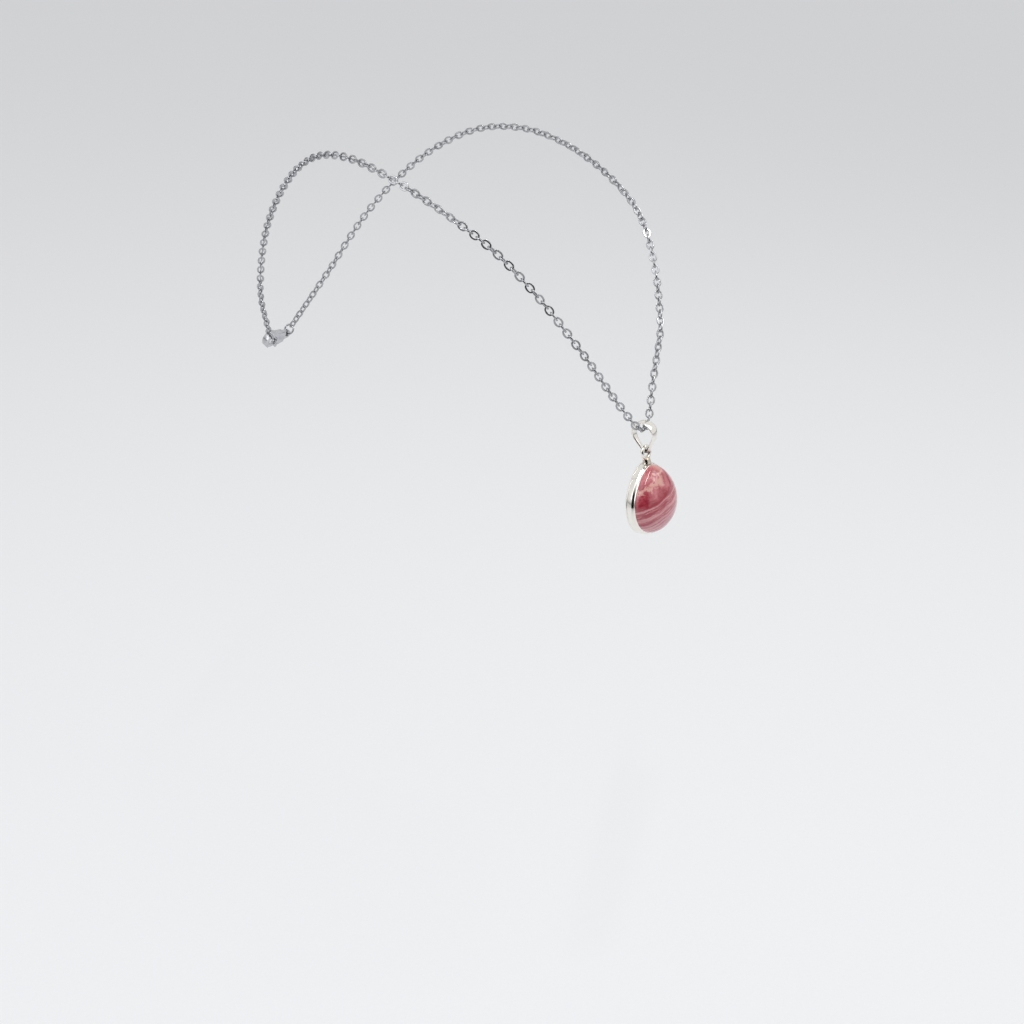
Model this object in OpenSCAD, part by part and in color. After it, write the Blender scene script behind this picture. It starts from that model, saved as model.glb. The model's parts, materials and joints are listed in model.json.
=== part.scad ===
// Pendant necklace: cable chain, teardrop bail, domed stone in a bezel, lobster clasp.
// Worn pose. The origin is the middle of the neck at the height where the chain crosses it.
// +Z is up, -Y is the wearer's front and +X is the wearer's left side. Millimetres.

/* [Chain] */
// Wire diameter of a chain link
link_wire = 0.48; // [0.40:0.02:0.50]
// Inside width of a chain link
link_inner_w = 1.1; // [1.0:0.05:1.2]
// Inside length of a chain link
link_inner_l = 1.8; // [1.75:0.05:1.9]
// Least play between two linked wires
link_play = 0.06; // [0.05:0.01:0.1]

/* [Bail] */
// Depth of the bail from front to back
bail_depth = 6.6; // [6.4:0.1:6.8]
// Height of the bail
bail_h = 8.2; // [8.1:0.1:8.3]
// Width of the bail across its top
bail_top_w = 3; // [2.6:0.1:3.1]
// Width of the bail across its bottom
bail_bottom_w = 0.85; // [0.7:0.05:0.9]
// Wall thickness of the bail
bail_wall = 0.6; // [0.5:0.05:0.65]
// Thickness of the bail at its bottom, where the ring hangs
bail_floor = 0.9; // [0.8:0.05:0.95]

/* [Pendant ring] */
// Outside diameter of the ring on top of the pendant
ring_od = 4; // [4:0.1:4.2]
// Wire diameter of that ring
ring_wire = 1; // [0.9:0.05:1]
// Diameter of the foot that carries the ring, at its base
foot_d = 2.4; // [2:0.1:2.8]
// Diameter of the foot at its top
foot_top_d = 1.9; // [1.7:0.1:2]

/* [Stone and setting] */
// Half width parameter of the stone outline
stone_a = 8.1; // [7.6:0.1:8.8]
// Half height of the stone outline
stone_b = 8.5; // [8.1:0.1:8.6]
// How much wider the lower half is than the upper half
stone_pear = 0.14; // [0:0.02:0.2]
// How much the upper half is pinched towards its tip
stone_pinch = 0.12; // [0:0.02:0.16]
// Height of the stone dome above the bezel rim
dome_h = 4.4; // [3.4:0.1:4.8]
// Thickness of the bezel wall
bezel_wall = 0.45; // [0.35:0.05:0.6]
// Height of the bezel wall above the back plate
bezel_h = 2.2; // [1.8:0.1:2.6]
// Thickness of the back plate
plate_t = 0.5; // [0.4:0.1:0.8]
// Lean of the pendant, bottom forward
pendant_lean = 13; // [10:1:20]

/* [Clasp] */
// Thickness of the clasp body
clasp_t = 1.9; // [1.8:0.1:2.2]
// Radius of the round hook of the clasp
hook_r = 2.6; // [2.5:0.1:2.8]
// Radius of the space inside the hook
hook_hole_r = 1.5; // [1.4:0.05:1.55]
// Inside diameter of the two jump rings
jump_id = 2.3; // [2.25:0.05:2.4]
// Wire diameter of the two jump rings
jump_wire = 0.55; // [0.5:0.05:0.6]
// Lean of the back of the chain from upright
back_lean = 20; // [18:1:22]

/* [Hidden] */

steel = [0.74, 0.75, 0.76];
silver = [0.86, 0.84, 0.80];
rose = [0.72, 0.28, 0.34];

curve_fn = 48;
wire_fn = 24;
outline_step = 5;
dome_layers = 9;
fit_gap = 0.04;

// Clasp: every place is in the clasp's own plane, hook to the +x side.
hook_c = [2.2, 0];
eye_c = [-3.6, 0];
eye_r = 1.3;
eye_hole_r = 0.65;
eye_t = 1;
throat = [-1.6, 2.04];
ring_angle = 60;
jump_reach = 2.1;
jump_turn = 356;
jump_lean = 2;
hook_play = 0.2;
eye_play = 0.1;
gate_from = -118;
gate_to = -48;
lever_pivot_angle = -138;
lever_t = 0.7;
lever_inset = 0.1;
lever_hub_r = 0.75;
lever_tip_reach = 2.95;
lever_tip_gap = 0.1;
thumb_at = [-0.5, -1.55];
thumb_r = 0.45;
slot_t = 0.8;
slot_l = 2.2;
slot_hub_r = 1.1;
pin_d = 0.6;
pin_play = 0.06;
spring_at = [-1.95, -1.35];
spring_size = [0.5, 1.3];
spring_leaf = 0.12;
spring_w = 0.6;
hook_touch = hook_c + (hook_hole_r - hook_play) * [cos(ring_angle), sin(ring_angle)];
eye_touch = eye_c + (eye_hole_r - eye_play) * [-cos(ring_angle), sin(ring_angle)];
touch_span = norm(hook_touch - eye_touch);
touch_mid = (hook_touch + eye_touch) / 2;
touch_tilt = atan2(hook_touch.y - eye_touch.y, hook_touch.x - eye_touch.x);
hook_mid_r = (hook_r + hook_hole_r) / 2;
lever_pivot = hook_c + hook_mid_r * [cos(lever_pivot_angle), sin(lever_pivot_angle)];
end_x = touch_span / 2 + jump_reach * cos(ring_angle);
end_up = jump_reach * sin(ring_angle);

// The chain's route on the wearer's left, from the bail round the neck to the clasp.
bail_point = [0, -70.2, -56];
route = [
    bail_point, [2, -69.9, -55.5], [4.3, -68.6, -52.8], [8.5, -66, -47],
    [13, -63.6, -40.6], [17, -61, -34.6], [24, -52.8, -22.4], [29.5, -43, -12.6],
    [33, -29, -5.4], [34.2, -14, -0.7], [33, 0, 0.8], [30, 14, -2.3],
    [25.5, 28, -12], [20, 41, -28], [13, 50.6, -48], [end_x, 56.2, -63.5]
];
body_centre = [0, 0, -85];
route_steps = 16;
last = len(route) - 1;

function unit(v) = v / norm(v);
function flip(v) = [-v.x, v.y, v.z];
function way(k) = k < 0 ? flip(route[1]) : (k > last ? 2 * route[last] - route[last - 1] : route[k]);
function spline(a, b, c, d, t) =
    (2 * b + (c - a) * t + (2 * a - 5 * b + 4 * c - d) * t * t + (3 * b - a - 3 * c + d) * t * t * t) / 2;
samples = [
    for (k = [0 : last - 1], j = [0 : route_steps - 1])
        spline(way(k - 1), way(k), way(k + 1), way(k + 2), j / route_steps),
    route[last]
];
steps = [for (k = [1 : len(samples) - 1]) norm(samples[k] - samples[k - 1])];
lengths = [for (k = 0, s = 0; k < len(samples); s = s + (k < len(steps) ? steps[k] : 0), k = k + 1) s];
half_length = lengths[len(lengths) - 1];
tables = [for (axis = [0 : 2]) [for (k = [0 : len(samples) - 1]) [lengths[k], samples[k][axis]]]];
function along(s) = [for (axis = [0 : 2]) lookup(s, tables[axis])];

// Links are numbered from the one in the bail, which is link 0.
last_link = ceil(half_length / (link_inner_l - link_play) - 0.5);
pitch = half_length / (last_link + 0.5);
function contact(i) = i < 0 ? flip(contact(0)) : along((i + 0.5) * pitch);
untwist_from = last_link - 15;
end_twist = last_link % 2 == 0 ? -45 : 45;
function roll(i) = 45 + 90 * (i % 2) + end_twist * max(0, i - untwist_from) / (last_link - untwist_from);

// Last link of each section.
front_end = 4;
lower_end = 21;
middle_end = 37;
upper_end = 51;
neck_end = 66;
shoulder_end = 82;
back_end = 96;
tail_end = last_link - 6;

// Bail and pendant, in the pendant's own upright frame with the chain at its origin.
bail_top = 2.15;
bail_big_r = bail_depth / 2;
bail_small_r = 1.5;
bail_big_z = bail_top - bail_big_r;
bail_small_z = bail_top - bail_h + bail_small_r;
hole_small_z = bail_small_z + bail_floor - bail_wall;
swing_z = bail_top - bail_h + bail_floor / 2;
ring_drop = 0.3;
ring_z = swing_z - ring_drop;
stone_z = -17.55;
plate_back_y = 1.5;
plate_front_y = plate_back_y - plate_t;
rim_y = plate_front_y - bezel_h;
girdle_y = rim_y + 0.25;

// A round-ended link in the XY plane, long side along X
module link() {
    bend_r = (link_inner_w + link_wire) / 2;
    straight = link_inner_l - link_inner_w;
    for (side = [-1, 1]) {
        translate([side * straight / 2, 0, 0])
            rotate([0, 0, -90 * side])
                rotate_extrude(angle = 180, $fn = curve_fn)
                    translate([bend_r, 0]) circle(d = link_wire, $fn = wire_fn);
        translate([0, side * bend_r, 0])
            rotate([0, 90, 0])
                cylinder(d = link_wire, h = straight, center = true, $fn = wire_fn);
    }
}

// Link number i, between its two contacts and rolled about the chain's line
module link_at(i) {
    a = contact(i - 1);
    b = contact(i);
    t = unit(b - a);
    c = (a + b) / 2;
    out = unit(c - body_centre);
    n = unit(out - (out * t) * t);
    m = n * cos(roll(i)) + cross(t, n) * sin(roll(i));
    w = cross(m, t);
    multmatrix([
        [t.x, w.x, m.x, c.x],
        [t.y, w.y, m.y, c.y],
        [t.z, w.z, m.z, c.z]
    ])
        link();
}

// Links first to final on the wearer's left; mirrored for the right
module section(first, final) {
    color(steel) for (i = [first : final]) link_at(i);
}

module both(left) {
    if (left) children();
    if (!left) mirror([1, 0, 0]) children();
}

module chain_front() {
    section(0, front_end);
    mirror([1, 0, 0]) section(1, front_end);
}

module chain_lower(left) { both(left) section(front_end + 1, lower_end); }
module chain_middle(left) { both(left) section(lower_end + 1, middle_end); }
module chain_upper(left) { both(left) section(middle_end + 1, upper_end); }
module chain_neck(left) { both(left) section(upper_end + 1, neck_end); }
module chain_shoulder(left) { both(left) section(neck_end + 1, shoulder_end); }
module chain_back(left) { both(left) section(shoulder_end + 1, back_end); }
module chain_tail(left) { both(left) section(back_end + 1, tail_end); }
module chain_end(left) { both(left) section(tail_end + 1, last_link); }

// Places its children in the leaning frame of the pendant
module pendant_frame() {
    translate(bail_point) rotate([-pendant_lean, 0, 0]) children();
}

// Round wire ring in the XZ plane
module wire_ring(inner_d, wire, angle = 360) {
    rotate([90, 0, 0])
        rotate_extrude(angle = angle, $fn = 64)
            translate([(inner_d + wire) / 2, 0]) circle(d = wire, $fn = 32);
}

// Teardrop of a big and a small circle with straight sides that touch both
module teardrop(big, small, small_z) {
    a = asin((big - small) / (bail_big_z - small_z));
    translate([0, bail_big_z]) circle(r = big, $fn = 96);
    translate([0, small_z]) circle(r = small, $fn = 64);
    polygon([
        [big * cos(a), bail_big_z - big * sin(a)], [-big * cos(a), bail_big_z - big * sin(a)],
        [-small * cos(a), small_z - small * sin(a)], [small * cos(a), small_z - small * sin(a)]
    ]);
}

// Bail: teardrop band, wide on top, narrow and thicker below
module bail() {
    color(silver) pendant_frame() intersection() {
        rotate([90, 0, 90])
            linear_extrude(bail_top_w + 1, center = true)
                difference() {
                    teardrop(bail_big_r, bail_small_r, bail_small_z);
                    teardrop(bail_big_r - bail_wall, bail_small_r - bail_wall, hole_small_z);
                }
        rotate([90, 0, 0])
            linear_extrude(bail_depth + 2, center = true)
                polygon([
                    [-bail_top_w / 2, bail_top + 1], [bail_top_w / 2, bail_top + 1],
                    [bail_top_w / 2, bail_big_z + 1.5], [bail_bottom_w / 2, bail_small_z],
                    [bail_bottom_w / 2, bail_top - bail_h - 1], [-bail_bottom_w / 2, bail_top - bail_h - 1],
                    [-bail_bottom_w / 2, bail_small_z], [-bail_top_w / 2, bail_big_z + 1.5]
                ]);
    }
}

module pendant_ring() {
    color(silver) pendant_frame()
        translate([0, 0, ring_z]) wire_ring(ring_od - 2 * ring_wire, ring_wire);
}

// Foot soldered between the ring and the bezel wall, saddled round the ring's wire
module ring_foot() {
    foot_bottom = stone_z + stone_b - 0.5;
    foot_top = ring_z - ring_od / 2 + 0.75 * ring_wire;
    color(silver) pendant_frame() difference() {
        translate([0, 0, foot_bottom])
            cylinder(d1 = foot_d, d2 = foot_top_d, h = foot_top - foot_bottom, $fn = 64);
        translate([0, 0, ring_z]) wire_ring(ring_od - 2 * ring_wire, ring_wire + fit_gap);
        slab(plate_back_y + 1, bezel_h + plate_t + 2) outline(bezel_wall + 2 * fit_gap);
    }
}

// Stone outline: an oval that is widest low down, with a pinched round tip
function outline_raw(t) = [
    stone_a * sin(t) * (1 - stone_pear * cos(t) - stone_pinch * pow(max(0, cos(t)), 2)),
    stone_b * cos(t)
];
function outline_tangent(t) = unit(outline_raw(t + 1) - outline_raw(t - 1));
function outline_point(t, grow) = outline_raw(t) + grow * [-outline_tangent(t).y, outline_tangent(t).x];

module outline(grow) {
    polygon([for (t = [0 : outline_step : 360 - outline_step]) outline_point(t, grow)]);
}

// Extrudes an outline forward from back_y over a thickness
module slab(back_y, thickness) {
    translate([0, back_y, stone_z]) rotate([90, 0, 0]) linear_extrude(thickness) children();
}

module back_plate() {
    color(silver) pendant_frame() slab(plate_back_y, plate_t) outline(bezel_wall + fit_gap);
}

module bezel() {
    color(silver) pendant_frame()
        slab(plate_front_y, bezel_h)
            difference() {
                outline(bezel_wall + fit_gap);
                outline(fit_gap);
            }
}

// Stone: rings of the outline from the girdle up over the dome, closed by an apex and a flat back
module stone() {
    t_step = 7.5;
    count = 360 / t_step;
    dome_rise = girdle_y - rim_y + dome_h;
    levels = concat(
        [[1, fit_gap - plate_front_y]],
        [for (k = [0 : dome_layers - 1])
            [cos(90 * k / dome_layers), dome_rise * sin(90 * k / dome_layers) - girdle_y]]
    );
    rings = [for (l = levels, t = [0 : t_step : 359]) [for (c = outline_raw(t) * l[0]) c, l[1]]];
    apex = len(rings);
    top = apex - count;
    walls = [
        for (l = [0 : len(levels) - 2], k = [0 : count - 1], half = [0, 1])
            let (a = l * count + k, b = l * count + (k + 1) % count)
                half == 0 ? [b, a + count, a] : [b + count, a + count, b]
    ];
    cap = [for (k = [0 : count - 1]) [top + (k + 1) % count, apex, top + k]];
    color(rose) pendant_frame()
        translate([0, 0, stone_z]) rotate([90, 0, 0])
            polyhedron(
                points = concat(rings, [[0, 0, dome_rise - girdle_y]]),
                faces = concat([[for (k = [1 : count]) count - k]], walls, cap)
            );
}

// Places its children in the clasp's plane, with both ring contacts level
module clasp_frame() {
    translate([0, route[last].y, route[last].z] - end_up * [0, -sin(back_lean), cos(back_lean)])
        rotate([90 - back_lean, 0, 180])
            rotate([0, 0, -touch_tilt])
                translate(-touch_mid)
                    children();
}

// Pie slice between two angles, used to cut rings open
module slice(from, to, r) {
    polygon([[0, 0], for (k = [0 : 4]) r * [cos(from + (to - from) * k / 4), sin(from + (to - from) * k / 4)]]);
}

module clasp_outline() {
    difference() {
        union() {
            translate(hook_c) circle(r = hook_r, $fn = 96);
            translate(eye_c) circle(r = eye_r, $fn = 64);
            polygon([
                eye_c + [0, eye_r], eye_c - [0, eye_r],
                hook_c + [throat.x, -throat.y], hook_c + throat
            ]);
        }
        translate(hook_c) circle(r = hook_hole_r, $fn = 96);
        translate(eye_c) circle(r = eye_hole_r, $fn = 48);
        translate(hook_c) slice(gate_from, gate_to, 2 * hook_r);
        intersection() {
            translate(lever_pivot) circle(r = lever_tip_reach + lever_tip_gap, $fn = 96);
            translate(hook_c) slice(gate_to - 1, gate_to + 36, 2 * hook_r);
        }
    }
}

module clasp_body() {
    color(silver) clasp_frame() difference() {
        linear_extrude(clasp_t, center = true) clasp_outline();
        linear_extrude(slot_t, center = true) {
            translate(lever_pivot) circle(r = slot_hub_r, $fn = 64);
            translate(lever_pivot + [-slot_l, thumb_at.y]) square([slot_l, 2]);
            translate(hook_c) slice(lever_pivot_angle - 12, gate_from + 1, 2 * hook_r);
        }
        translate(lever_pivot) cylinder(d = pin_d, h = clasp_t + 1, center = true, $fn = 48);
        for (side = [-1, 1])
            translate([eye_c.x, 0, side * clasp_t / 2])
                cube([2.5 * eye_r, 2.5 * eye_r, clasp_t - eye_t], center = true);
    }
}

// Lever: an arc that closes the hook, a hub on the pin and a tab for the thumb
module clasp_lever() {
    tab = lever_pivot + thumb_at;
    color(steel) clasp_frame() difference() {
        linear_extrude(lever_t, center = true) {
            intersection() {
                translate(hook_c) difference() {
                    circle(r = hook_r - lever_inset, $fn = 96);
                    circle(r = hook_hole_r + lever_inset, $fn = 96);
                }
                translate(hook_c) slice(lever_pivot_angle, gate_to + 30, 2 * hook_r);
                translate(lever_pivot) circle(r = lever_tip_reach, $fn = 96);
            }
            translate(lever_pivot) circle(r = lever_hub_r, $fn = 48);
            translate(tab) circle(r = thumb_r, $fn = 48);
            polygon([
                lever_pivot + [thumb_at.x, 0], tab + [0.1 - thumb_r, 0.1],
                tab + [thumb_r, -0.1], lever_pivot + [lever_hub_r - 0.1, -0.3]
            ]);
        }
        translate(lever_pivot) cylinder(d = pin_d + pin_play, h = clasp_t, center = true, $fn = 48);
    }
}

module clasp_pin() {
    color(steel) clasp_frame()
        translate(lever_pivot) cylinder(d = pin_d, h = clasp_t, center = true, $fn = 48);
}

// Leaf spring in the slot behind the lever
module clasp_spring() {
    color(steel) clasp_frame()
        translate(lever_pivot + spring_at)
            linear_extrude(spring_w, center = true)
                difference() {
                    square(spring_size);
                    translate([spring_leaf, spring_leaf]) square(spring_size - [0, 2 * spring_leaf]);
                }
}

// Jump ring between a contact of the clasp and an end of the chain
module jump_ring(side, touch) {
    centre_reach = jump_reach + link_play / 2 - jump_id / 2;
    color(steel) clasp_frame()
        translate(touch)
            rotate([0, 0, touch_tilt])
                rotate([0, 0, side > 0 ? ring_angle : 180 - ring_angle])
                    translate([centre_reach, 0, 0])
                        rotate([0, 90 + jump_lean, 0])
                            wire_ring(jump_id, jump_wire, jump_turn);
}

module clasp_jump_ring() { jump_ring(-1, eye_touch); }
module catch_jump_ring() { jump_ring(1, hook_touch); }

chain_front();
chain_lower(true);  // chain_lower_left
chain_lower(false);  // chain_lower_right
chain_middle(true);  // chain_middle_left
chain_middle(false);  // chain_middle_right
chain_upper(true);  // chain_upper_left
chain_upper(false);  // chain_upper_right
chain_neck(true);  // chain_neck_left
chain_neck(false);  // chain_neck_right
chain_shoulder(true);  // chain_shoulder_left
chain_shoulder(false);  // chain_shoulder_right
chain_back(true);  // chain_back_left
chain_back(false);  // chain_back_right
chain_tail(true);  // chain_tail_left
chain_tail(false);  // chain_tail_right
chain_end(true);  // chain_end_left
chain_end(false);  // chain_end_right
bail();
pendant_ring();
ring_foot();
bezel();
back_plate();
stone();
clasp_body();
clasp_lever();
clasp_pin();
clasp_spring();
clasp_jump_ring();
catch_jump_ring();
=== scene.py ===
"""Looks of the pendant necklace: a steel cable chain, a silver teardrop bail and ring, a banded
pink stone in a bezel, and a lobster clasp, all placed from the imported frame.

Lengths are in millimetres and constant angles in degrees, unless a line says otherwise."""

import json
import math
import random

import bmesh
import bpy
import numpy as np
from mathutils import Matrix, Vector


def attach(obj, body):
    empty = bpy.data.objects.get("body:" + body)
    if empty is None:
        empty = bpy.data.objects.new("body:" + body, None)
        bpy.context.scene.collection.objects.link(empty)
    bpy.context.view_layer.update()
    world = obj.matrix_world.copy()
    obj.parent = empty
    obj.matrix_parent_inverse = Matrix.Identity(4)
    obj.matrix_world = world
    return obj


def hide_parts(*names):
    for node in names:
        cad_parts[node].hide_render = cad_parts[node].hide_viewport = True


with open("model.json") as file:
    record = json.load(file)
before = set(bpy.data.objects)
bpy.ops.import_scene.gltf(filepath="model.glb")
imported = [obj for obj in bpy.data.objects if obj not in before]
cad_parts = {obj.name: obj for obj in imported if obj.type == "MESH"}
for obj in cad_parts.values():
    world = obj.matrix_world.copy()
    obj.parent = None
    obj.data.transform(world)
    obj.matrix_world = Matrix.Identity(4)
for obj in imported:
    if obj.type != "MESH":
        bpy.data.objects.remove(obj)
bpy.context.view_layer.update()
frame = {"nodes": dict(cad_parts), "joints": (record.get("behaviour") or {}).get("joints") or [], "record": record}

MM = 0.001
JOINTS = {j["name"]: j for j in frame["joints"]}
RNG = random.Random(11)


# ---------------------------------------------------------------- reading the frame

def points_of(node):
    """Vertices of a CAD node, in millimetres."""
    mesh = frame["nodes"][node].data
    flat = np.zeros(len(mesh.vertices) * 3, np.float32)
    mesh.vertices.foreach_get("co", flat)
    return flat.reshape(-1, 3).astype(float) / MM


def islands(node):
    """The separate solids of a CAD node, each as its points in millimetres."""
    mesh = frame["nodes"][node].data
    points = points_of(node)
    _, weld = np.unique(points.round(4), axis=0, return_inverse=True)
    weld = weld.ravel()
    ends = np.zeros(len(mesh.edges) * 2, np.int32)
    mesh.edges.foreach_get("vertices", ends)
    a, b = weld[ends.reshape(-1, 2)].T
    label = np.arange(weld.max() + 1)
    while True:
        low = np.minimum(label[a], label[b])
        new = label.copy()
        np.minimum.at(new, a, low)
        np.minimum.at(new, b, low)
        new = new[new]
        if (new == label).all():
            break
        label = new
    own = label[weld]
    return [points[own == name] for name in np.unique(own)]


def axes_of(points):
    """Centre of a solid and its principal axes as rows, the longest first, with its size along each."""
    _, _, axes = np.linalg.svd(points - points.mean(axis=0), full_matrices=False)
    if np.linalg.det(axes) < 0:
        axes[2] = -axes[2]
    local = points @ axes.T
    lo, hi = local.min(axis=0), local.max(axis=0)
    return (lo + hi) / 2 @ axes, axes, hi - lo


def local_box(node, matrix):
    """Lowest and highest corner of a CAD node in a local frame, in millimetres."""
    inverse = np.array(matrix.inverted())
    points = points_of(node) * MM @ inverse[:3, :3].T + inverse[:3, 3]
    return points.min(axis=0) / MM, points.max(axis=0) / MM


def pendant_frame():
    """The pendant's upright frame: origin on the chain in the bail, -Y out of the front."""
    axis = Vector(JOINTS["pendant_swing"]["axis"])
    lean = math.atan2(abs(axis.z), abs(axis.y))
    anchor = Vector(JOINTS["bail_swing"]["pos_m"])
    return Matrix.Translation(anchor) @ Matrix.Rotation(-lean, 4, "X")


# ---------------------------------------------------------------- mesh helpers

def finish_piece(obj, body, nodes, matrix=None):
    """Places a new piece, rides it on its body and lets it stand for its CAD nodes."""
    if matrix is not None:
        obj.matrix_world = matrix
    obj.data.shade_smooth()
    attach(obj, body)
    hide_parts(*nodes)
    return obj


def new_object(name, points, faces, material):
    """A mesh object from points in millimetres, its faces turned outwards."""
    mesh = bpy.data.meshes.new(name)
    mesh.from_pydata((np.asarray(points) * MM).tolist(), [], faces)
    build = bmesh.new()
    build.from_mesh(mesh)
    bmesh.ops.recalc_face_normals(build, faces=build.faces)
    build.to_mesh(mesh)
    build.free()
    mesh.materials.append(material)
    obj = bpy.data.objects.new(name, mesh)
    bpy.context.scene.collection.objects.link(obj)
    return obj


def skin_faces(rings, sides, closed):
    """Quads between rings of points; closed also joins the last ring to the first."""
    faces = []
    for i in range(rings if closed else rings - 1):
        a, b = i * sides, (i + 1) % rings * sides
        for k in range(sides):
            n = (k + 1) % sides
            faces.append((a + k, a + n, b + n, b + k))
    return faces


def skin(name, rings, material, closed=True):
    """Skins a list of closed rings; an open skin gets its two ends filled."""
    rings = np.asarray(rings, float)
    count, sides = rings.shape[:2]
    faces = skin_faces(count, sides, closed)
    if not closed:
        faces.append(tuple(range(sides)))
        faces.append(tuple((count - 1) * sides + k for k in range(sides)))
    return new_object(name, rings.reshape(-1, 3), faces, material)


CORNER_POINTS = 3


def wire_section(half_w, half_t, corner):
    """Points and normals of a flat wire's section: a rectangle with rounded corners."""
    points, normals = [], []
    for quarter in range(4):
        sx = 1 if quarter in (0, 3) else -1
        sy = 1 if quarter in (0, 1) else -1
        for k in range(CORNER_POINTS):
            a = math.radians(90 * (quarter + k / (CORNER_POINTS - 1)))
            n = (math.cos(a), math.sin(a))
            u, t = sx * (half_w - corner), sy * (half_t - corner)
            points.append((u + corner * n[0], t + corner * n[1]))
            normals.append(n)
    return np.array(points), np.array(normals)


# ---------------------------------------------------------------- materials

def rgb(red, green, blue):
    """Display colour out of 255 as linear RGBA."""
    def linear(c):
        c /= 255
        return c / 12.92 if c <= 0.04045 else ((c + 0.055) / 1.055) ** 2.4
    return (linear(red), linear(green), linear(blue), 1.0)


class Nodes:
    """A material under construction: add() makes a node, sets its inputs and gives it back."""

    def __init__(self, name):
        self.material = bpy.data.materials.new(name)
        self.material.use_nodes = True
        self.tree = self.material.node_tree
        self.shader = self.tree.nodes["Principled BSDF"]
        place = self.add("ShaderNodeTexCoord")
        self.mm = self.stretch(place.outputs["Object"], (1 / MM,) * 3)

    def add(self, kind, inputs=None, **settings):
        node = self.tree.nodes.new(kind)
        for key, value in settings.items():
            setattr(node, key, value)
        for key, value in (inputs or {}).items():
            self.put(node.inputs[key], value)
        return node

    def put(self, socket, value):
        if isinstance(value, bpy.types.NodeSocket):
            self.tree.links.new(value, socket)
        else:
            socket.default_value = value

    def math(self, operation, a, b=0.0):
        return self.add("ShaderNodeMath", {0: a, 1: b}, operation=operation).outputs[0]

    def plus(self, value, other, share):
        """value + share * other."""
        return self.math("ADD", value, self.math("MULTIPLY", other, share))

    def distance(self, point):
        """Distance in millimetres from a point in the piece's own frame."""
        node = self.add("ShaderNodeVectorMath", {0: self.mm, 1: point}, operation="DISTANCE")
        return node.outputs["Value"]

    def noise(self, vector, scale, detail, rough, warp=0.0):
        return self.add("ShaderNodeTexNoise", {
            "Vector": vector, "Scale": scale, "Detail": detail, "Roughness": rough, "Distortion": warp,
        }).outputs["Fac"]

    def stretch(self, vector, factors):
        return self.add("ShaderNodeVectorMath", {0: vector, 1: factors}, operation="MULTIPLY").outputs[0]

    def span(self, value, from_low, from_high, to_low=0.0, to_high=1.0, smooth=False):
        return self.add("ShaderNodeMapRange", {
            "Value": value, "From Min": from_low, "From Max": from_high,
            "To Min": to_low, "To Max": to_high,
        }, interpolation_type="SMOOTHSTEP" if smooth else "LINEAR").outputs["Result"]

    def mix(self, share, a, b):
        node = self.add("ShaderNodeMix", data_type="RGBA")
        self.put(node.inputs["Factor"], share)
        self.put(node.inputs[6], a)
        self.put(node.inputs[7], b)
        return node.outputs[2]

    def ramp(self, value, stops):
        node = self.add("ShaderNodeValToRGB", {"Fac": value})
        ramp = node.color_ramp
        while len(ramp.elements) < len(stops):
            ramp.elements.new(1.0)
        for element, (position, colour) in zip(ramp.elements, stops):
            element.position = position
            element.color = colour
        return node.outputs["Color"]

    def bump(self, height, distance, strength=1.0):
        inputs = {"Height": height, "Distance": distance, "Strength": strength}
        return self.add("ShaderNodeBump", inputs).outputs["Normal"]

    def set(self, **inputs):
        for key, value in inputs.items():
            self.put(self.shader.inputs[key.replace("_", " ")], value)


def metal(name, light, dark, gloss, satin, tarnish_and_shade=(), grain=0.0006):
    """Polished metal: faint cloudy tone and hairline scratches.

    Each tint spot is a centre, a reach and a tint, in the piece's own frame. Some spots are real tarnish; others
    are painted shade, a dark tint standing in for the shade between parts.
    """
    n = Nodes(name)
    cloud = n.noise(n.mm, 0.9, 4.0, 0.6)
    fine = n.noise(n.mm, 9.0, 3.0, 0.7)
    hairs = n.noise(n.stretch(n.mm, (26.0, 26.0, 2.2)), 1.0, 2.0, 0.6)
    cross = n.noise(n.stretch(n.mm, (2.6, 17.0, 21.0)), 1.0, 2.0, 0.6)
    tone = n.span(cloud, 0.3, 0.7)
    colour = n.mix(tone, dark, light)
    # Mix in each tint spot: real tarnish, and painted shade where a dark tint stands for shade between parts.
    for centre, reach, tint in tarnish_and_shade:
        ragged = n.plus(n.distance(centre), fine, 0.3 * reach)
        share = n.span(ragged, reach, 0.35 * reach, smooth=True)
        colour = n.mix(share, colour, tint)
    n.set(Base_Color=colour, Metallic=1.0)
    worn = n.plus(n.math("MULTIPLY", hairs, 0.5), cloud, 0.5)
    n.set(Roughness=n.span(worn, 0.3, 0.7, gloss, satin))
    lines = n.plus(n.math("MULTIPLY", hairs, 0.6), cross, 0.5)
    n.set(Normal=n.bump(n.plus(lines, fine, 0.35), grain * MM))
    return n.material


BAND_REACH = 8.4
BAND_SLOPE = -0.3
LACE_PATCH = (-2.4, -4.0, 5.3)
BANDS = [
    (-8.4, (198, 128, 136)), (-6.8, (206, 140, 146)), (-6.1, (178, 90, 102)), (-5.5, (214, 150, 156)),
    (-5.0, (188, 106, 116)), (-4.5, (216, 156, 162)), (-3.9, (182, 92, 106)), (-3.5, (212, 148, 154)),
    (-3.1, (174, 72, 86)), (-2.5, (170, 66, 80)), (-2.1, (196, 108, 116)), (-1.7, (218, 152, 156)),
    (-1.2, (206, 130, 136)), (-0.8, (178, 74, 88)), (-0.2, (168, 56, 72)), (0.4, (174, 64, 78)),
    (0.72, (178, 82, 94)), (0.95, (226, 166, 166)), (1.2, (180, 80, 92)), (1.6, (160, 46, 62)),
    (2.3, (150, 34, 52)), (3.2, (170, 62, 78)), (4.4, (188, 88, 100)), (6.0, (192, 100, 110)),
    (8.4, (208, 130, 130)),
]


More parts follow.
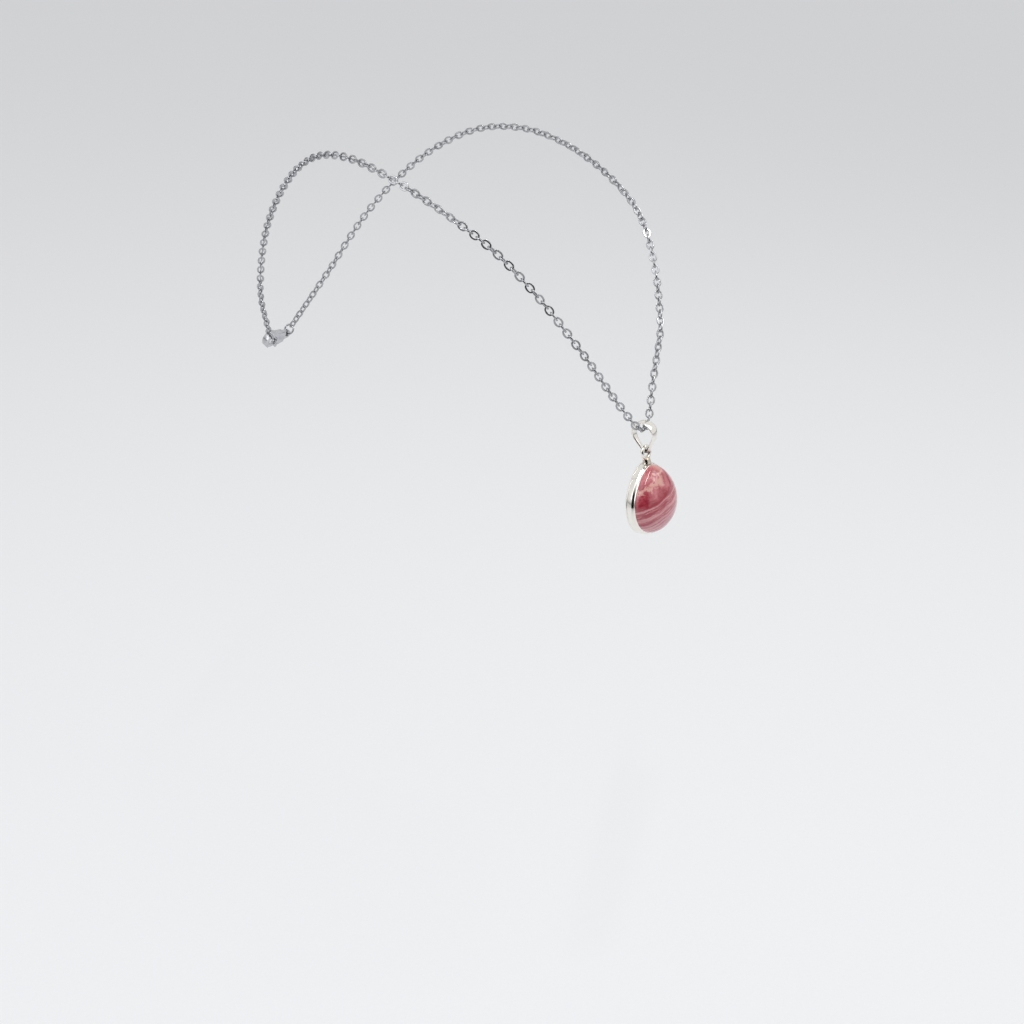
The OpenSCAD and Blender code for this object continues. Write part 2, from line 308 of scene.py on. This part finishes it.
def stone_material():
    """Banded pink stone: fine bands that rise to the wearer's left, a red field and cream lace above."""
    n = Nodes("rhodochrosite")
    parts = n.add("ShaderNodeSeparateXYZ", {0: n.mm})
    x, y, z = parts.outputs["X"], parts.outputs["Y"], parts.outputs["Z"]
    slow = n.math("SUBTRACT", n.noise(n.mm, 0.16, 2.0, 0.5), 0.5)
    fine = n.math("SUBTRACT", n.noise(n.mm, 2.2, 4.0, 0.6), 0.5)
    level = n.plus(n.plus(n.plus(z, x, BAND_SLOPE), slow, 1.3), fine, 0.5)
    stops = [((at + BAND_REACH) / (2 * BAND_REACH), rgb(*colour)) for at, colour in BANDS]
    base = n.ramp(n.span(level, -BAND_REACH, BAND_REACH), stops)

    along = n.math("MULTIPLY", n.plus(x, z, -BAND_SLOPE), 0.22)
    deep = n.math("MULTIPLY", y, 0.3)
    streak_place = n.add("ShaderNodeCombineXYZ", {0: along, 1: deep, 2: n.math("MULTIPLY", level, 3.3)})
    streak = n.noise(streak_place.outputs[0], 1.0, 5.0, 0.7)
    lower = n.span(level, 1.4, 0.4, 0.25, 1.0, smooth=True)
    pale = n.math("MULTIPLY", n.span(streak, 0.51, 0.62, 0.0, 0.85), lower)
    dark = n.math("MULTIPLY", n.span(streak, 0.47, 0.34, 0.0, 0.7), lower)
    base = n.mix(pale, base, rgb(228, 172, 173))
    base = n.mix(dark, base, rgb(164, 50, 68))

    upper = n.span(level, 1.2, 2.6, smooth=True)
    cloud = n.noise(n.mm, 0.4, 5.0, 0.62, 0.5)
    mottled = n.ramp(cloud, [
        (0.32, rgb(140, 26, 44)), (0.42, rgb(164, 50, 66)), (0.5, rgb(184, 80, 92)),
        (0.58, rgb(198, 104, 114)), (0.7, rgb(216, 140, 144))])
    base = n.mix(n.math("MULTIPLY", upper, 0.8), base, mottled)

    swirl = n.math("SUBTRACT", n.noise(n.mm, 0.45, 4.0, 0.65, 0.8), 0.5)
    vein = n.plus(n.plus(z, x, -0.5), swirl, 5.0)
    off_vein = n.math("ABSOLUTE", n.math("SUBTRACT", vein, 6.5))
    ragged = n.plus(off_vein, fine, 1.6)
    lace_side = n.span(x, 2.4, 0.8, smooth=True)
    lace = n.math("MULTIPLY", n.span(ragged, 0.75, 0.05, smooth=True), lace_side)
    spot = n.plus(n.distance(LACE_PATCH), swirl, 9.0)
    lace = n.math("MAXIMUM", lace, n.span(spot, 1.9, 0.6, smooth=True))
    base = n.mix(n.math("MULTIPLY", lace, 0.8), base, rgb(232, 180, 166))
    crown_side = n.span(x, -1.4, 0.4, smooth=True)
    crown = n.math("MULTIPLY", n.span(vein, 6.4, 7.6, smooth=True), crown_side)
    base = n.mix(n.math("MULTIPLY", crown, 0.55), base, rgb(218, 158, 140))
    side = n.span(x, 1.5, 8.0, 0.0, 0.35, smooth=True)
    base = n.mix(side, base, rgb(204, 134, 140))
    n.set(Base_Color=base)
    n.set(Roughness=n.span(cloud, 0.3, 0.7, 0.06, 0.12))
    n.set(Specular_IOR_Level=0.5, Coat_Weight=0.4, Coat_Roughness=0.04, IOR=1.6)
    n.set(Normal=n.bump(n.noise(n.mm, 0.8, 2.0, 0.5), 0.004 * MM))
    return n.material


def floor_material():
    """Plain pale matt surface with a barely visible grain."""
    n = Nodes("pale_floor")
    grain = n.noise(n.mm, 1.4, 4.0, 0.6)
    n.set(Base_Color=n.mix(grain, rgb(232, 233, 236), rgb(236, 237, 239)), Roughness=0.6)
    n.set(Normal=n.bump(grain, 0.02 * MM, 0.4))
    return n.material


# ---------------------------------------------------------------- chain

LINK_RINGS = 40
LINK_OVAL = 2.2
LINK_HALF_WIRE = 0.2
LINK_PLAY = 0.04
SIDE_WIDEN = 0.03
FACE_HALF_T = 0.2
WIRE_CORNER = 0.13
SEAM_SWELL = 0.02
SEAM_REACH = 0.16
TANGENT_STEP = 0.02
LINK_SWAY = 8.0
LINK_TIP = 2.5
CHAIN_TWIST = 30.0
TWIST_UP = np.array([0.0, 0.6, 0.8])
TWIST_WAVE = (0.05, 0.16)
TWIST_START = 1.0
JOINT_KEEP = 1.9
JOINT_FADE = 5.0


def link_shape(length, width, wire):
    """Points, normals and faces of one link: a flattened oval of wire with a small soldered swelling."""
    half_l = length / 2 - wire + LINK_HALF_WIRE + LINK_PLAY
    half_w = width / 2 - LINK_HALF_WIRE
    angles = [2 * math.pi * i / LINK_RINGS for i in range(LINK_RINGS)]

    def oval(a):
        c, s = math.cos(a), math.sin(a)
        power = 2 / LINK_OVAL
        x, y = math.copysign(abs(c) ** power, c), math.copysign(abs(s) ** power, s)
        return np.array([x * half_l, y * half_w])

    points, normals = [], []
    for a in angles:
        tangent = oval(a + TANGENT_STEP) - oval(a - TANGENT_STEP)
        out = np.array([tangent[1], -tangent[0]]) / np.linalg.norm(tangent)
        widen = SIDE_WIDEN * math.sin(a) ** 2
        swell = SEAM_SWELL * math.exp(-((a - math.pi / 2) / SEAM_REACH) ** 2)
        section, turned = wire_section(
            LINK_HALF_WIRE + widen + swell, FACE_HALF_T + swell, WIRE_CORNER)
        centre = oval(a) - widen * out
        for (u, t), (nu, nt) in zip(section, turned):
            points.append((*(centre + u * out), t))
            normals.append((*(nu * out), nt))
    return np.array(points), np.array(normals), skin_faces(LINK_RINGS, len(section), True)


def chain_freedom(centre):
    """How freely a link lies as drawn here: 0 beside a joint and in the bail, 1 well away from both."""
    away = min(np.linalg.norm(centre[1:] - np.array(j["pos_m"][1:]) / MM) for j in JOINTS.values())
    return min(1.0, max(0.0, (away - JOINT_KEEP) / JOINT_FADE))


def chain_twist(centre, axis):
    """Degrees that the chain has turned about its own line at a link."""
    wave = math.sin(TWIST_WAVE[1] * centre[2] + TWIST_WAVE[0] * centre[0] + TWIST_START)
    return CHAIN_TWIST * wave * float(axis @ TWIST_UP)


def chain_section(node, body, material):
    """One packed chain section, each of its links redrawn in the place that the frame gives it."""
    points, normals, faces = [], [], []
    for solid in islands(node):
        centre, axes, size = axes_of(solid)
        shape, shape_normals, shape_faces = link_shape(*size)
        flip = RNG.choice([1, -1])
        free = chain_freedom(centre)
        sway = math.radians(free * (chain_twist(centre, axes[0]) + RNG.uniform(-LINK_SWAY, LINK_SWAY)))
        tip = math.radians(free * RNG.uniform(-LINK_TIP, LINK_TIP))
        w = math.cos(sway) * axes[1] + math.sin(sway) * axes[2]
        face = np.cross(axes[0], w)
        along = math.cos(tip) * axes[0] + math.sin(tip) * face
        turn = np.array([along * flip, w * flip, np.cross(along, w)])
        start = len(points) * len(shape)
        points.append(shape @ turn + centre)
        normals.append(shape_normals @ turn)
        faces += [tuple(start + k for k in f) for f in shape_faces]
    obj = new_object(node + "_links", np.concatenate(points), faces, material)
    finish_piece(obj, body, [node])
    obj.data.normals_split_custom_set_from_vertices(np.concatenate(normals).tolist())
    return obj


# ---------------------------------------------------------------- bail, ring and foot

BAIL_WALL = 0.6
BAIL_FLOOR = 0.9
BAIL_SMALL_R = 1.5
BAIL_NARROW = 0.425
BAIL_WIDE_ABOVE = 1.5
BAND_CROWN = 0.62
BAND_ACROSS = 12
BAND_INSIDE = 8
BAND_INSIDE_WIDTH = 0.96
BIG_STEPS = 63
SMALL_STEPS = 32


def bail_piece(matrix, material):
    """Teardrop band, domed outside, wide over the chain, narrow and thicker where the ring hangs."""
    lo, hi = local_box("bail", matrix)
    half_depth = (hi[1] - lo[1]) / 2
    big_z, small_z = hi[2] - half_depth, lo[2] + BAIL_SMALL_R
    tilt = math.asin((half_depth - BAIL_SMALL_R) / (big_z - small_z))
    over, under = math.pi + 2 * tilt, math.pi - 2 * tilt
    path = [(-tilt + over * k / BIG_STEPS, half_depth, big_z) for k in range(BIG_STEPS + 1)]
    path += [
        (math.pi + tilt + under * k / SMALL_STEPS, BAIL_SMALL_R, small_z) for k in range(SMALL_STEPS + 1)]
    loops = []
    for a, r, z0 in path:
        cy, cz = math.cos(a), math.sin(a)
        y, z = cy * r, z0 + cz * r
        wall = BAIL_WALL + (BAIL_FLOOR - BAIL_WALL) * max(0.0, -cz) ** 2
        share = min(1, max(0, (z - small_z) / (big_z + BAIL_WIDE_ABOVE - small_z)))
        half_w = BAIL_NARROW + (hi[0] - BAIL_NARROW) * share
        loop = []
        for k in range(BAND_ACROSS + 1):
            across = math.sin(math.pi / 2 * (2 * k / BAND_ACROSS - 1))
            rise = math.sqrt(max(0.0, 1 - across * across))
            depth = wall * BAND_CROWN * (1 - rise)
            loop.append((across * half_w, y - cy * depth, z - cz * depth))
        for k in range(1, BAND_INSIDE):
            across = 1 - 2 * k / BAND_INSIDE
            loop.append((across * half_w * BAND_INSIDE_WIDTH, y - cy * wall, z - cz * wall))
        loops.append(loop)
    obj = skin("bail_band", loops, material)
    return finish_piece(obj, "bail", ["bail"], matrix)


RING_STEPS = 72
RING_SIDES = 20


def ring_piece(matrix, material):
    """Round wire ring on top of the pendant."""
    lo, hi = local_box("pendant_ring", matrix)
    wire_r = (hi[1] - lo[1]) / 2
    centre_z, mean_r = (lo[2] + hi[2]) / 2, (hi[0] - lo[0]) / 2 - wire_r
    loops = []
    for i in range(RING_STEPS):
        a = 2 * math.pi * i / RING_STEPS
        loop = []
        for k in range(RING_SIDES):
            b = 2 * math.pi * k / RING_SIDES
            r = mean_r + wire_r * math.cos(b)
            loop.append((r * math.sin(a), wire_r * math.sin(b), centre_z + r * math.cos(a)))
        loops.append(loop)
    obj = skin("pendant_ring_wire", loops, material)
    return finish_piece(obj, "pendant", ["pendant_ring"], matrix)


# ---------------------------------------------------------------- stone and setting

STONE_PEAR = 0.14
STONE_PINCH = 0.12
STONE_SUNK = 0.25
STONE_FIT = 0.997
STONE_LEVELS = 30
STONE_WAVE = 0.05
OUTLINE_STEPS = 120
OUTLINE_NUDGE = 0.01


class Setting:
    """Outline of the stone in the pendant's frame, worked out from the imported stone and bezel."""

    def __init__(self, matrix):
        stone_lo, stone_hi = local_box("stone", matrix)
        bezel_lo, bezel_hi = local_box("bezel", matrix)
        _, plate_hi = local_box("back_plate", matrix)
        self.half_h = (stone_hi[2] - stone_lo[2]) / 2
        self.centre_z = (stone_hi[2] + stone_lo[2]) / 2
        wide = max(math.sin(t) * self.bulge(t) for t in np.linspace(0, math.pi, 721))
        self.half_w = stone_hi[0] / wide
        self.front = -stone_lo[1]
        self.rim = -bezel_lo[1]
        self.plate_front = -bezel_hi[1]
        self.plate_back = -plate_hi[1]
        self.margin = bezel_hi[2] - stone_hi[2]

    def bulge(self, t):
        c = math.cos(t)
        return 1 - STONE_PEAR * c - STONE_PINCH * max(0.0, c) ** 2

    def raw(self, t):
        return np.array([self.half_w * math.sin(t) * self.bulge(t), self.half_h * math.cos(t)])

    def point(self, t, grow, forward, scale=1.0):
        """Point at outline angle t, moved out by grow, in the pendant's frame."""
        tangent = self.raw(t + OUTLINE_NUDGE) - self.raw(t - OUTLINE_NUDGE)
        out = np.array([-tangent[1], tangent[0]]) / np.linalg.norm(tangent)
        x, z = self.raw(t) * scale + grow * out
        return (x, -forward, self.centre_z + z)


def stone_piece(matrix, shape, material):
    """Polished dome with slightly uneven hand-cut curvature; its frame's origin is the outline's middle."""
    sunk = shape.rim - STONE_SUNK
    rise = shape.front - sunk
    loops = []
    for k in range(STONE_LEVELS):
        a = math.pi / 2 * k / STONE_LEVELS
        scale = STONE_FIT * math.cos(a)
        height = sunk + rise * math.sin(a)
        loop = []
        for i in range(OUTLINE_STEPS):
            t = 2 * math.pi * i / OUTLINE_STEPS
            x, y, z = shape.point(t, 0.0, height, scale)
            wave = STONE_WAVE * math.sin(a) * math.sin(2 * t + 0.7) * math.cos(a)
            loop.append((x, y + wave, z - shape.centre_z))
        loops.append(loop)
    floor_loop = [(x, -shape.plate_front, z) for x, _, z in loops[0]]
    rings = np.array([floor_loop] + loops)
    count, sides = rings.shape[:2]
    faces = skin_faces(count, sides, False)
    points = rings.reshape(-1, 3).tolist()
    apex = len(points)
    points.append((0.0, -shape.front, 0.0))
    last = (count - 1) * sides
    faces += [(last + k, last + (k + 1) % sides, apex) for k in range(sides)]
    faces.append(tuple(range(sides)))
    obj = new_object("stone_dome", points, faces, material)
    place = matrix @ Matrix.Translation((0, 0, shape.centre_z * MM))
    return finish_piece(obj, "pendant", ["stone"], place)


def bezel_piece(matrix, shape, material):
    """Bezel wall with a chamfered shoulder and a thin rim burnished over the stone.

    The rim's height and its inner edge vary a little round the stone, as handwork does.
    """
    outer, inner = shape.margin, 0.02
    base, rim = shape.plate_front, shape.rim
    loops = []
    for i in range(OUTLINE_STEPS * 2):
        t = math.pi * i / OUTLINE_STEPS
        hand = 0.03 * math.sin(5 * t + 1.3) + 0.02 * math.sin(11 * t)
        top = rim - 0.03 + 0.6 * min(0.0, hand)
        lip = -0.2 + 0.5 * hand
        section = [
            (inner, base + 0.02), (outer - 0.06, base + 0.02), (outer - 0.015, base + 0.05),
            (outer, base + 0.12), (outer, base + 0.5), (outer, top - 0.92),
            (outer - 0.01, top - 0.86), (outer - 0.06, top - 0.77),
            (outer - 0.19, top - 0.53), (outer - 0.32, top - 0.34), (outer - 0.34, top - 0.28),
            (outer - 0.34, top - 0.14), (outer - 0.37, top - 0.04), (outer - 0.44, top),
            (lip + 0.1, top - 0.01), (lip + 0.02, top - 0.06), (lip, top - 0.14), (lip + 0.02, top - 0.22),
            (inner, top - 0.45), (inner, base + 0.5),
        ]
        loops.append([shape.point(t, grow, forward) for grow, forward in section])
    obj = skin("bezel_wall", loops, material)
    return finish_piece(obj, "pendant", ["bezel"], matrix)


def plate_piece(matrix, shape, material):
    """Closed back plate, slightly domed, with its edge rounded where it is soldered to the bezel."""
    edge, back, front = shape.margin, shape.plate_back, shape.plate_front
    section = [
        (0.0, front), (edge - 0.07, front), (edge - 0.015, front - 0.04), (edge, front - 0.12),
        (edge, back + 0.2), (edge - 0.03, back + 0.12), (edge - 0.1, back + 0.06),
        (edge - 0.22, back + 0.03),
    ]
    turns = [2 * math.pi * i / OUTLINE_STEPS for i in range(OUTLINE_STEPS)]
    loops = [[shape.point(t, grow, forward) for t in turns] for grow, forward in section]
    for scale in [0.94, 0.82, 0.62, 0.38, 0.16]:
        loops.append([shape.point(t, 0.0, back + 0.03 * scale, scale) for t in turns])
    obj = skin("back_plate_sheet", loops, material, closed=False)
    return finish_piece(obj, "pendant", ["back_plate"], matrix)


FOOT_SIDES = 40
FOOT_LEVELS = [
    (1.25, 1.1, 0.0), (1.1, 1.0, 0.1), (1.0, 0.94, 0.24), (0.95, 0.87, 0.42), (0.92, 0.8, 0.6),
    (0.89, 0.72, 0.76), (0.8, 0.58, 0.89), (0.6, 0.4, 0.97), (0.35, 0.25, 1.0),
]


def foot_piece(matrix, shape, material):
    """Solder foot that flares from the ring's wire down to the bezel."""
    _, hi = local_box("ring_foot", matrix)
    base_z = shape.centre_z + shape.half_h + shape.margin
    loops = []
    for sx, sy, up in FOOT_LEVELS:
        loop = []
        for k in range(FOOT_SIDES):
            a = 2 * math.pi * k / FOOT_SIDES
            x, y = hi[0] * sx * math.cos(a), hi[1] * sy * math.sin(a)
            sag = (0.1 + 0.1 * x * x) * max(0.0, 1 - 4 * up)
            loop.append((x, y, base_z + up * (hi[2] - base_z) - sag))
        loops.append(loop)
    obj = skin("ring_foot_solder", loops, material, closed=False)
    return finish_piece(obj, "pendant", ["ring_foot"], matrix)


# ---------------------------------------------------------------- clasp

def cast_piece(node, name, body, material, width):
    """A cast part of the clasp, redrawn from its CAD node with clean faces and rounded edges."""
    obj = bpy.data.objects.new(name, frame["nodes"][node].data.copy())
    bpy.context.scene.collection.objects.link(obj)
    build = bmesh.new()
    build.from_mesh(obj.data)
    bmesh.ops.remove_doubles(build, verts=build.verts, dist=0.0005 * MM)
    bmesh.ops.dissolve_limit(build, angle_limit=math.radians(1), verts=build.verts, edges=build.edges)
    build.to_mesh(obj.data)
    build.free()
    obj.data.materials.clear()
    obj.data.materials.append(material)
    bevel = obj.modifiers.new("edges", "BEVEL")
    bevel.width = width * MM
    bevel.segments = 3
    bevel.limit_method = "ANGLE"
    bevel.angle_limit = math.radians(40)
    bevel.harden_normals = True
    return finish_piece(obj, body, [node])


JUMP_STEPS = 64
JUMP_SIDES = 16
CUT_END_SIZE = 0.86


def jump_ring_piece(node, material):
    """Bent wire ring with its two cut ends almost meeting, where the CAD ring has its gap."""
    points = points_of(node)
    centre, axes, size = axes_of(points)
    wire_r = size[2] / 2
    mean_r = size[0] / 2 - wire_r
    local = (points - centre) @ axes.T
    turn = np.sort(np.arctan2(local[:, 1], local[:, 0]))
    gaps = np.diff(np.append(turn, turn[0] + 2 * math.pi))
    widest = int(gaps.argmax())
    gap = max(float(gaps[widest]), math.radians(3))
    start = float(turn[widest]) + gap
    loops = []
    for i in range(JUMP_STEPS + 1):
        a = start + (2 * math.pi - gap) * i / JUMP_STEPS
        trim = CUT_END_SIZE if i in (0, JUMP_STEPS) else 1.0
        loop = []
        for k in range(JUMP_SIDES):
            b = 2 * math.pi * k / JUMP_SIDES
            r = mean_r + trim * wire_r * math.cos(b)
            spot = np.array([r * math.cos(a), r * math.sin(a), trim * wire_r * math.sin(b)])
            loop.append(spot @ axes + centre)
        loops.append(loop)
    obj = skin(node + "_wire", loops, material, closed=False)
    return finish_piece(obj, "clasp", [node])


PIN_SIDES = 28
PIN_HEAD = [(0.25, 1.0), (0.6, 0.985), (0.85, 0.95), (0.97, 0.9), (1.0, 0.82)]


def pin_piece(material):
    """Rivet pin of the lever, with softly domed heads."""
    centre, axes, size = axes_of(points_of("clasp_pin"))
    half, r = size[0] / 2, size[1] / 2
    profile = PIN_HEAD + [(wide, -up) for wide, up in reversed(PIN_HEAD)]
    loops = []
    for wide, up in profile:
        loops.append([
            np.array([up * half, wide * r * math.cos(a), wide * r * math.sin(a)]) @ axes + centre
            for a in np.linspace(0, 2 * math.pi, PIN_SIDES, endpoint=False)])
    obj = skin("clasp_pin_rivet", loops, material, closed=False)
    return finish_piece(obj, "clasp", ["clasp_pin"])


# ---------------------------------------------------------------- stage

CAMERA_PLACE = (-291.66, -247.45, 78.25)
CAMERA_TURN = 53.6
CAMERA_PITCH = 25.1
CAMERA_ROLL = 4.5
CAMERA_LENS = 52.73
FLOOR_Z = -196.0
FLOOR_HALF = 6000.0
DARK_SIDE = (-0.8, -0.56, 0.16)
BACKDROP = (0.77, 0.775, 0.79, 1)
WORLD_STRENGTH = 0.82


def add_camera():
    data = bpy.data.cameras.new("camera")
    data.sensor_width = 36.0
    data.lens = CAMERA_LENS
    data.clip_start = 0.01
    obj = bpy.data.objects.new("camera", data)
    bpy.context.scene.collection.objects.link(obj)
    turn = Matrix.Rotation(math.radians(-CAMERA_TURN), 4, "Z")
    pitch = Matrix.Rotation(math.radians(90 - CAMERA_PITCH), 4, "X")
    roll = Matrix.Rotation(math.radians(CAMERA_ROLL), 4, "Z")
    obj.matrix_world = Matrix.Translation(Vector(CAMERA_PLACE) * MM) @ turn @ pitch @ roll
    bpy.context.scene.camera = obj


def add_floor():
    corners = [(-1, -1), (1, -1), (1, 1), (-1, 1)]
    points = [(x * FLOOR_HALF, y * FLOOR_HALF, FLOOR_Z) for x, y in corners]
    obj = new_object("floor", points, [(0, 1, 2, 3)], floor_material())


def add_light(name, place, aim, width, height, power, colour=(1, 1, 1)):
    data = bpy.data.lights.new(name, "AREA")
    data.shape = "RECTANGLE"
    data.size, data.size_y = width * MM, height * MM
    data.energy, data.color = power, colour
    obj = bpy.data.objects.new(name, data)
    bpy.context.scene.collection.objects.link(obj)
    obj.location = Vector(place) * MM
    obj.rotation_euler = (Vector(aim) - Vector(place)).to_track_quat("-Z", "Y").to_euler()


def add_world():
    """White studio with a dark side and a low skirting for the metal; the camera sees a plain backdrop."""
    world = bpy.data.worlds.new("studio")
    bpy.context.scene.world = world
    world.use_nodes = True
    tree = world.node_tree
    place = tree.nodes.new("ShaderNodeTexCoord")

    def directional(aim, stops):
        dot = tree.nodes.new("ShaderNodeVectorMath")
        dot.operation = "DOT_PRODUCT"
        tree.links.new(place.outputs["Generated"], dot.inputs[0])
        dot.inputs[1].default_value = Vector(aim).normalized()
        ramp = tree.nodes.new("ShaderNodeValToRGB")
        tree.links.new(dot.outputs["Value"], ramp.inputs["Fac"])
        for element, (position, grey) in zip(ramp.color_ramp.elements, stops):
            element.position = position
            element.color = (grey, grey, grey, 1)
        return ramp.outputs["Color"]

    camera_side = directional(DARK_SIDE, [(0.7, 1.0), (0.86, 0.01)])
    skirting = directional((0, 0, 1), [(0.0, 0.3), (0.14, 1.0)])
    both = tree.nodes.new("ShaderNodeMix")
    both.data_type = "RGBA"
    both.blend_type = "MULTIPLY"
    both.inputs["Factor"].default_value = 1.0
    tree.links.new(camera_side, both.inputs[6])
    tree.links.new(skirting, both.inputs[7])
    seen = tree.nodes.new("ShaderNodeMix")
    seen.data_type = "RGBA"
    path = tree.nodes.new("ShaderNodeLightPath")
    tree.links.new(path.outputs["Is Camera Ray"], seen.inputs["Factor"])
    tree.links.new(both.outputs[2], seen.inputs[6])
    seen.inputs[7].default_value = BACKDROP
    back = tree.nodes["Background"]
    tree.links.new(seen.outputs[2], back.inputs["Color"])
    back.inputs["Strength"].default_value = WORLD_STRENGTH


def build():
    bpy.context.scene.view_settings.view_transform = "Standard"
    add_camera()
    add_floor()
    add_world()
    add_light("key", (260, -420, 620), (0, -20, -40), 500, 500, 1.6, (1.0, 0.99, 0.97))
    add_light("fill", (-560, 120, 360), (0, 0, -40), 420, 600, 0.8, (0.96, 0.98, 1.0))
    add_light("strip", (-84, -112, 512), (-3.6, -75, -66), 18, 420, 0.5)

    steel = metal("chain_steel", rgb(192, 193, 196), rgb(156, 157, 161), 0.08, 0.22)
    cast = metal("clasp_steel", rgb(206, 207, 210), rgb(176, 177, 181), 0.09, 0.24, grain=0.0015)
    upright = pendant_frame()
    shape = Setting(upright)
    solder_spot = (0.0, 0.0, shape.centre_z + shape.half_h + 1.0)
    # Painted shade: a dark brown tint where the ring hangs in the bail stands in for the shade in that gap, with a
    # little tarnish as well.
    gap_shade_and_patina_spot = (0.0, 0.0, shape.centre_z + shape.half_h + 3.5)
    # Tint spots on the silver: real tarnish round the solder foot, and the painted shade in the ring's gap.
    tarnish_and_shade = [(solder_spot, 2.2, rgb(186, 168, 140)), (gap_shade_and_patina_spot, 1.7, rgb(84, 74, 64))]
    silver = metal("silver", rgb(247, 244, 238), rgb(238, 234, 226), 0.06, 0.2, tarnish_and_shade, 0.0008)

    for body, nodes in frame["record"]["behaviour"]["bodies"].items():
        for node in nodes:
            if node.startswith("chain_"):
                chain_section(node, body, steel)

    bail_piece(upright, silver)
    ring_piece(upright, silver)
    foot_piece(upright, shape, silver)
    bezel_piece(upright, shape, silver)
    plate_piece(upright, shape, silver)
    stone_piece(upright, shape, stone_material())
    jump_ring_piece("clasp_jump_ring", steel)
    jump_ring_piece("catch_jump_ring", steel)
    cast_piece("clasp_body", "clasp_body_cast", "clasp", cast, 0.22)
    cast_piece("clasp_lever", "clasp_lever_cast", "trigger", cast, 0.12)
    cast_piece("clasp_spring", "clasp_spring_leaf", "clasp", cast, 0.03)
    pin_piece(cast)


build()
